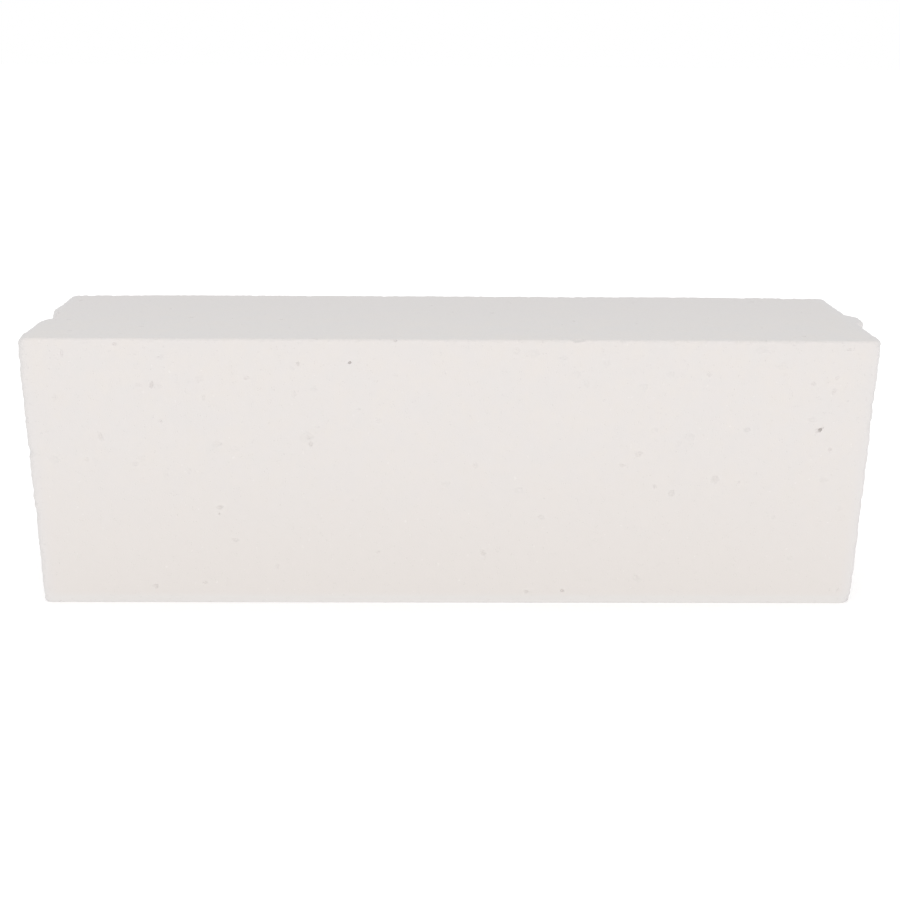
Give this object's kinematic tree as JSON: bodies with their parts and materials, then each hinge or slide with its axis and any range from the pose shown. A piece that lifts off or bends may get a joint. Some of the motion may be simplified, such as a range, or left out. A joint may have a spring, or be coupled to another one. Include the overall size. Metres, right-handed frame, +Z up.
{
  "type": "aerated concrete block",
  "caption": "Off-white aerated concrete wall block with a full-height tongue on one end and a matching groove on the other, smooth sawn faces and slightly worn edges.",
  "frame": {"origin": "middle of the bed face, halfway between the flat lands of the two ends and halfway through the wall's thickness", "axes": "+X along the block towards the tongue end, +Y through the thickness away from the pictured long face, +Z up from the bed face as the block is laid"},
  "size_m": [0.6075, 0.15, 0.2],
  "materials": {
    "aerated_concrete": "matt, finely porous, sawn"
  },
  "bodies": {
    "root": {"block": "aerated_concrete"}
  },
  "joints": []
}
